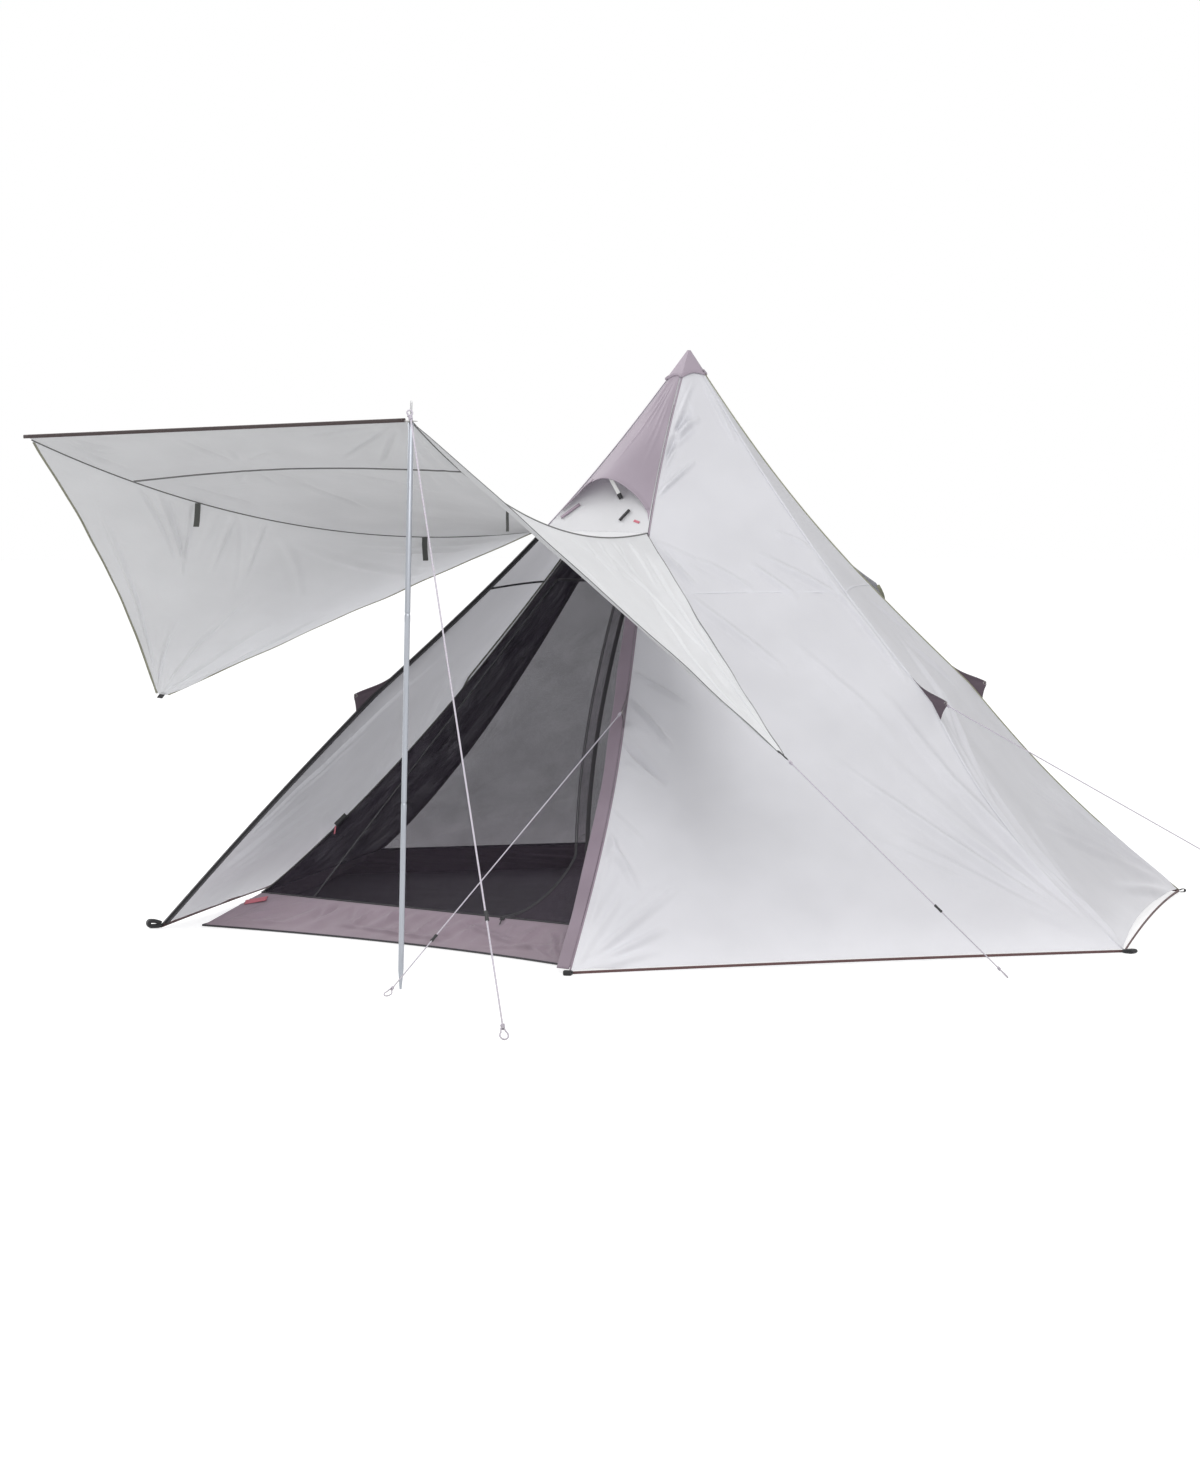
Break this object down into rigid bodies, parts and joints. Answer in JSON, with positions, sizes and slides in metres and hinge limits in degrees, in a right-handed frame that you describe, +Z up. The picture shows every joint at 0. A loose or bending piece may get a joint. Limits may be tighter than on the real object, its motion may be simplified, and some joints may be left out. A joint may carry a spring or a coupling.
{
  "type": "pyramid tent",
  "caption": "Six-sided pyramid tent on a centre pole, its door panel raised as an awning on a second pole, with a mesh inner tent, zipped door, hooded vents and guy lines.",
  "frame": {"origin": "centre of the groundsheet, on the ground under the centre pole", "axes": "+Z up along the centre pole, -Y out of the door under the awning, +X to the right seen from above with the door at the bottom"},
  "size_m": [4.6844, 5.1327, 2.225],
  "materials": {
    "fly_cloth": "coated polyester, matt",
    "vent_cloth": "uncoated polyester, matt",
    "mauve_cloth": "coated polyester, matt",
    "fin_cloth": "reinforced polyester, matt",
    "bathtub_cloth": "coated polyester, matt",
    "inner_mesh": "fine netting and groundsheet, matt",
    "black_webbing": "woven webbing, matt",
    "binding": "bound edge, matt",
    "grey_cloth": "woven tape, matt",
    "pole_tube": "brushed tube",
    "pole_steel": "drawn rod",
    "pole_plastic": "moulded",
    "white_plastic": "moulded",
    "guy_cord": "braided cord"
  },
  "bodies": {
    "tent": {"apex_cap": "mauve_cloth", "awning_front_binding": "binding", "awning_grommet": "pole_steel", "awning_pole_lower": "pole_tube", "awning_pole_middle": "pole_tube", "awning_pole_spike": "pole_steel", "awning_pole_upper": "pole_tube", "awning_roof": "fly_cloth", "awning_seam_left": "grey_cloth", "awning_seam_right": "grey_cloth", "awning_tab_left": "black_webbing", "awning_tab_right": "black_webbing", "awning_wing_left": "fly_cloth", "awning_wing_right": "fly_cloth", "centre_pole_foot": "pole_plastic", "centre_pole_lower": "pole_tube", "centre_pole_top": "pole_plastic", "centre_pole_upper": "pole_tube", "door_zip_tape": "black_webbing", "fly_panel_back": "fly_cloth", "fly_panel_back_left": "fly_cloth", "fly_panel_back_right": "fly_cloth", "fly_panel_front_left": "fly_cloth", "fly_panel_front_right": "fly_cloth", "guy_fin_back_left": "fin_cloth", "guy_fin_back_right": "fin_cloth", "guy_fin_front_left": "fin_cloth", "guy_fin_front_right": "fin_cloth", "guy_fin_left": "fin_cloth", "guy_fin_right": "fin_cloth", "guy_line_front_right": "guy_cord", "guy_line_pole": "guy_cord", "guy_line_right": "guy_cord", "guy_line_wing": "guy_cord", "hem_binding": "binding", "inner_bathtub": "bathtub_cloth", "inner_floor": "inner_mesh", "inner_front": "inner_mesh", "inner_panel_back": "inner_mesh", "inner_panel_back_left": "inner_mesh", "inner_panel_back_right": "inner_mesh", "inner_panel_front_left": "inner_mesh", "inner_panel_front_right": "inner_mesh", "inner_ridge_tapes": "black_webbing", "rear_vent_hood": "grey_cloth", "ridge_seams": "black_webbing", "storm_flap": "mauve_cloth", "vent_hood": "mauve_cloth", "vent_panel": "vent_cloth"},
    "vent_prop": {"vent_prop": "white_plastic"},
    "door_tie_left_front": {"door_tie_left_front": "grey_cloth"},
    "door_tie_left_rear": {"door_tie_left_rear": "grey_cloth"},
    "door_tie_right_front": {"door_tie_right_front": "grey_cloth"},
    "door_tie_right_rear": {"door_tie_right_rear": "grey_cloth"},
    "inner_door": {"inner_door": "inner_mesh"},
    "inner_door_slider": {"inner_door_slider": "pole_plastic"},
    "guy_runner_pole": {"guy_runner_pole": "pole_plastic"},
    "guy_runner_front_right": {"guy_runner_front_right": "pole_plastic"},
    "guy_runner_wing": {"guy_runner_wing": "pole_plastic"},
    "guy_runner_right": {"guy_runner_right": "pole_plastic"}
  },
  "joints": [
    {"name": "vent_prop_fold", "type": "hinge", "parent": "tent", "child": "vent_prop", "pos_m": [0.015, -0.43179, 1.64518], "axis": [-1, 0, 0], "range_deg": [0, 42]},
    {"name": "inner_door_swing", "type": "hinge", "parent": "tent", "child": "inner_door", "pos_m": [-0.57979, -1.51046, 0.1256], "axis": [-0.2631, -0.5892, -0.7639], "range_deg": [0, 60]},
    {"name": "inner_door_zip", "type": "slide", "parent": "tent", "child": "inner_door_slider", "axis": [-1, 0, 0], "range_m": [0, 0.85]},
    {"name": "door_tie_left_front_swing", "type": "hinge", "parent": "tent", "child": "door_tie_left_front", "pos_m": [-0.77946, -1.91825, 1.64105], "axis": [-0.3126, -0.9131, 0.2618], "range_deg": [-15, 45]},
    {"name": "door_tie_left_rear_swing", "type": "hinge", "parent": "tent", "child": "door_tie_left_rear", "pos_m": [-0.47004, -1.01458, 1.49743], "axis": [-0.3238, -0.9455, 0.0341], "range_deg": [-15, 45]},
    {"name": "door_tie_right_front_swing", "type": "hinge", "parent": "tent", "child": "door_tie_right_front", "pos_m": [0.71709, -1.79495, 1.64987], "axis": [-0.323, 0.9109, -0.2568], "range_deg": [-15, 45]},
    {"name": "door_tie_right_rear_swing", "type": "hinge", "parent": "tent", "child": "door_tie_right_rear", "pos_m": [0.40816, -0.92377, 1.50873], "axis": [-0.3341, 0.9422, -0.0262], "range_deg": [-15, 45]},
    {"name": "guy_runner_pole_slide", "type": "slide", "parent": "tent", "child": "guy_runner_pole", "axis": [-0.4456, 0.2737, 0.8524], "range_m": [-0.2, 0.3]},
    {"name": "guy_runner_front_right_slide", "type": "slide", "parent": "tent", "child": "guy_runner_front_right", "axis": [-0.1718, 0.8553, 0.4888], "range_m": [-0.2, 0.3]},
    {"name": "guy_runner_wing_slide", "type": "slide", "parent": "tent", "child": "guy_runner_wing", "axis": [-0.5771, -0.4216, 0.6994], "range_m": [-0.2, 0.3]},
    {"name": "guy_runner_right_slide", "type": "slide", "parent": "tent", "child": "guy_runner_right", "axis": [-0.6729, -0.5525, 0.4919], "range_m": [-0.2, 0.3]}
  ]
}
